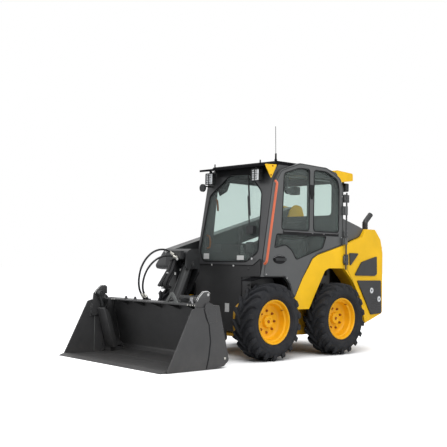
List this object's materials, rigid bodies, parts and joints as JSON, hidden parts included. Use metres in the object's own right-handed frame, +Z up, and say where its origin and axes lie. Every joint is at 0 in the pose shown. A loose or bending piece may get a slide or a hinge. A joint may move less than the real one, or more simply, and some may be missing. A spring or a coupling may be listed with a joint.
{
  "type": "skid steer loader",
  "caption": "Side-entry skid steer loader with one lift arm on the right, a glazed cab and a four-in-one bucket.",
  "frame": {"origin": "centre of the machine's footprint box, on the ground", "axes": "+Z up, -Y towards the bucket, +X to the operator's left"},
  "size_m": [1.676, 3.409, 2.4001],
  "materials": {
    "tyre": "ribbed rubber",
    "wheel_yellow": "gloss",
    "body_yellow": "gloss",
    "dark_grey": "satin",
    "black_paint": "satin",
    "bucket_grey": "satin",
    "glass": "clear tinted",
    "black_plastic": "matte",
    "seat_fabric": "woven",
    "rod_steel": "polished",
    "steel": "machined",
    "rail_orange": "gloss",
    "hose_rubber": "matte",
    "lamp_lens": "clear",
    "mesh_black": "matte"
  },
  "bodies": {
    "chassis": {"chassis_frame": "body_yellow", "axle_tubes": "body_yellow", "cab_frame": "black_paint", "cab_glass": "glass", "front_panel": "dark_grey", "roof_cap": "black_plastic", "sun_visor": "black_plastic", "roof_cowl": "body_yellow", "work_lamps": "black_plastic", "roof_corner": "body_yellow", "antenna": "black_plastic", "mirror": "black_plastic", "grab_rail": "rail_orange", "front_wiper": "black_plastic", "side_panel_left": "body_yellow", "rear_arch_liners": "body_yellow", "front_arch_liners": "black_plastic", "rear_frame": "body_yellow", "side_panel_right": "body_yellow", "arm_tower": "body_yellow", "fender_right": "black_paint", "engine_block": "steel", "exhaust_stack": "black_paint", "door_post": "black_paint", "tail_covers": "dark_grey", "seat_base": "black_plastic", "operator_seat": "seat_fabric", "control_levers": "black_plastic", "hood_pins": "steel", "rear_hinges": "black_paint", "lamp_lenses": "lamp_lens"},
    "wheel_front_left": {"tyre_fl": "tyre", "wheel_fl": "wheel_yellow"},
    "wheel_front_right": {"tyre_fr": "tyre", "wheel_fr": "wheel_yellow"},
    "wheel_rear_left": {"tyre_rl": "tyre", "wheel_rl": "wheel_yellow"},
    "wheel_rear_right": {"tyre_rr": "tyre", "wheel_rr": "wheel_yellow"},
    "side_door": {"door_panel": "dark_grey", "door_glass": "glass", "door_handle": "black_plastic"},
    "engine_hood": {"engine_hood": "dark_grey", "hood_grille": "mesh_black"},
    "rear_door": {"rear_door": "dark_grey"},
    "lift_arm": {"lift_arm": "black_paint", "coupling_block": "steel", "hose_outer": "hose_rubber", "hose_inner": "hose_rubber"},
    "lift_barrel": {"lift_barrel": "black_paint"},
    "lift_rod": {"lift_rod": "rod_steel"},
    "tilt_barrel": {"tilt_barrel": "black_paint"},
    "tilt_rod": {"tilt_rod": "rod_steel"},
    "coupler": {"coupler_frame": "black_paint", "coupler_levers": "steel", "bucket_back": "bucket_grey"},
    "bucket_jaw": {"bucket_jaw": "bucket_grey", "cutting_edge": "bucket_grey"},
    "clam_barrels": {"clam_barrels": "black_paint"},
    "clam_rods": {"clam_rods": "rod_steel"}
  },
  "joints": [
    {"name": "roll_front_left", "type": "hinge", "parent": "chassis", "child": "wheel_front_left", "pos_m": [0.634, -0.2215, 0.382], "axis": [1, 0, 0], "continuous": true},
    {"name": "roll_front_right", "type": "hinge", "parent": "chassis", "child": "wheel_front_right", "pos_m": [-0.634, -0.2215, 0.382], "axis": [1, 0, 0], "continuous": true},
    {"name": "roll_rear_left", "type": "hinge", "parent": "chassis", "child": "wheel_rear_left", "pos_m": [0.634, 0.8155, 0.382], "axis": [1, 0, 0], "continuous": true},
    {"name": "roll_rear_right", "type": "hinge", "parent": "chassis", "child": "wheel_rear_right", "pos_m": [-0.634, 0.8155, 0.382], "axis": [1, 0, 0], "continuous": true},
    {"name": "side_door_swing", "type": "hinge", "parent": "chassis", "child": "side_door", "pos_m": [0.676, 0.9465, 0.9], "axis": [0, 0, 1], "range_deg": [0, 80]},
    {"name": "engine_hood_lift", "type": "hinge", "parent": "chassis", "child": "engine_hood", "pos_m": [0.1, 0.9505, 1.462], "axis": [1, 0, 0], "range_deg": [0, 55]},
    {"name": "rear_door_swing", "type": "hinge", "parent": "chassis", "child": "rear_door", "pos_m": [-0.394, 1.6925, 0.8], "axis": [0, 0, 1], "range_deg": [0, 100]},
    {"name": "arm_lift", "type": "hinge", "parent": "chassis", "child": "lift_arm", "pos_m": [-0.52, 1.3385, 1.56], "axis": [-1, 0, 0], "range_deg": [0, 66]},
    {"name": "lift_barrel_swing", "type": "hinge", "parent": "chassis", "child": "lift_barrel", "pos_m": [-0.52, 1.0685, 0.96], "axis": [-1, 0, 0], "range_deg": [-1, 66]},
    {"name": "lift_rod_slide", "type": "slide", "parent": "lift_barrel", "child": "lift_rod", "axis": [0, -0.9998, 0.0175], "range_m": [-0.005, 0.7203]},
    {"name": "bucket_tilt", "type": "hinge", "parent": "lift_arm", "child": "coupler", "pos_m": [0, -0.8015, 0.215], "axis": [1, 0, 0], "range_deg": [-24, 108], "deforming": ["hose_outer", "hose_inner"]},
    {"name": "tilt_barrel_swing", "type": "hinge", "parent": "lift_arm", "child": "tilt_barrel", "pos_m": [-0.15, -0.5995, 0.927], "axis": [1, 0, 0], "range_deg": [-10, 10]},
    {"name": "tilt_rod_slide", "type": "slide", "parent": "tilt_barrel", "child": "tilt_rod", "axis": [0, -0.4048, -0.9144], "range_m": [-0.0734, 0.3178]},
    {"name": "jaw_open", "type": "hinge", "parent": "coupler", "child": "bucket_jaw", "pos_m": [0, -1.1775, 0.56], "axis": [-1, 0, 0], "range_deg": [0, 60]},
    {"name": "clam_barrel_swing", "type": "hinge", "parent": "coupler", "child": "clam_barrels", "pos_m": [0, -1.1215, 0.15], "axis": [-1, 0, 0], "range_deg": [-1, 15]},
    {"name": "clam_rod_slide", "type": "slide", "parent": "clam_barrels", "child": "clam_rods", "axis": [0, -0.2866, 0.9581], "range_m": [-0.005, 0.0355]}
  ],
  "couplings": [
    {"joint": "lift_barrel_swing", "follows": "arm_lift", "ratio": 0.94286},
    {"joint": "lift_rod_slide", "follows": "arm_lift", "m_per_rad": 0.61662},
    {"joint": "tilt_barrel_swing", "follows": "bucket_tilt", "ratio": -0.00988},
    {"joint": "tilt_rod_slide", "follows": "bucket_tilt", "m_per_rad": 0.16327},
    {"joint": "clam_barrel_swing", "follows": "jaw_open", "ratio": 0.18869},
    {"joint": "clam_rod_slide", "follows": "jaw_open", "m_per_rad": 0.024331}
  ]
}
